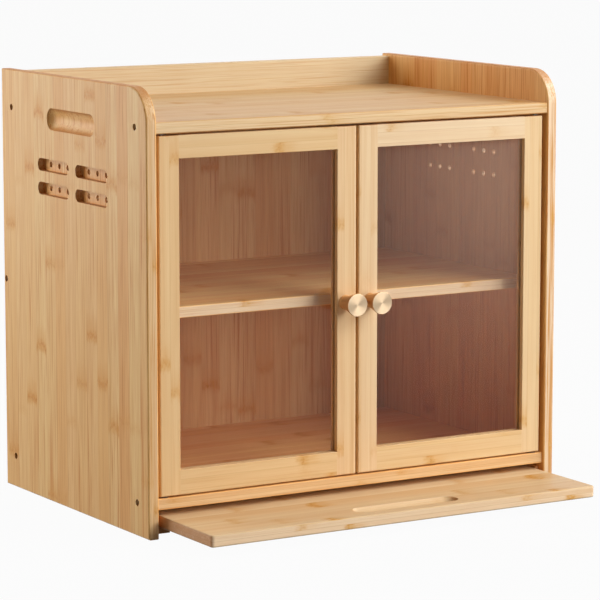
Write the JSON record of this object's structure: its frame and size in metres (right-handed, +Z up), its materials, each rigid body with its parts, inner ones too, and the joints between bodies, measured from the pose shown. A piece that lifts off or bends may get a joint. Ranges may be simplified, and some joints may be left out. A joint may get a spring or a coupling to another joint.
{
  "type": "bread box",
  "caption": "Counter-top bamboo bread box: two glazed doors, a shelf, a railed tray top, scooped side grips, vent slots and a sliding cutting board below the floor.",
  "frame": {"origin": "on the counter, under the middle of the footprint with the cutting board drawn out 80 mm", "axes": "+X to the right across the front, +Y to the back, +Z up"},
  "size_m": [0.4, 0.345, 0.366],
  "materials": {
    "bamboo": "satin clear lacquer on laminated bamboo strips",
    "beech": "plain fluted dowel, unfinished",
    "clear_pane": "clear sheet, polished faces",
    "brass": "satin, face turned with fine rings",
    "steel": "zinc plated",
    "nylon": "moulded, natural",
    "catch_plastic": "moulded, fine grain",
    "magnet": "sintered ferrite, dark grey"
  },
  "bodies": {
    "cabinet": {"back_panel": "bamboo", "back_rail": "bamboo", "board_stop": "bamboo", "bottom_board": "bamboo", "catch_body": "catch_plastic", "catch_magnets": "magnet", "catch_screws": "steel", "left_bottom_bush": "nylon", "left_runner": "bamboo", "left_runner_brads": "steel", "left_side_panel": "bamboo", "left_side_screws": "steel", "left_top_bush": "nylon", "rail_dowels": "beech", "right_bottom_bush": "nylon", "right_runner": "bamboo", "right_runner_brads": "steel", "right_side_panel": "bamboo", "right_side_screws": "steel", "right_top_bush": "nylon", "shelf": "bamboo", "stop_screws": "steel", "top_board": "bamboo"},
    "left_door": {"left_door_hinge_stile": "bamboo", "left_door_meeting_stile": "bamboo", "left_door_bottom_rail": "bamboo", "left_door_top_rail": "bamboo", "left_door_pane": "clear_pane", "left_door_bottom_pin": "steel", "left_door_top_pin": "steel", "left_door_knob": "brass", "left_door_knob_screw": "steel", "left_door_strike_plate": "steel", "left_door_strike_screw": "steel"},
    "right_door": {"right_door_hinge_stile": "bamboo", "right_door_meeting_stile": "bamboo", "right_door_bottom_rail": "bamboo", "right_door_top_rail": "bamboo", "right_door_pane": "clear_pane", "right_door_bottom_pin": "steel", "right_door_top_pin": "steel", "right_door_knob": "brass", "right_door_knob_screw": "steel", "right_door_strike_plate": "steel", "right_door_strike_screw": "steel"},
    "cutting_board": {"cutting_board": "bamboo"}
  },
  "joints": [
    {"name": "left_door_hinge", "type": "hinge", "parent": "cabinet", "child": "left_door", "pos_m": [-0.1823, -0.0845, 0.1805], "axis": [0, 0, -1], "range_deg": [0, 105]},
    {"name": "right_door_hinge", "type": "hinge", "parent": "cabinet", "child": "right_door", "pos_m": [0.1823, -0.0845, 0.1805], "axis": [0, 0, 1], "range_deg": [0, 105]},
    {"name": "cutting_board_slide", "type": "slide", "parent": "cabinet", "child": "cutting_board", "axis": [0, -1, 0], "range_m": [-0.08, 0.11]}
  ]
}
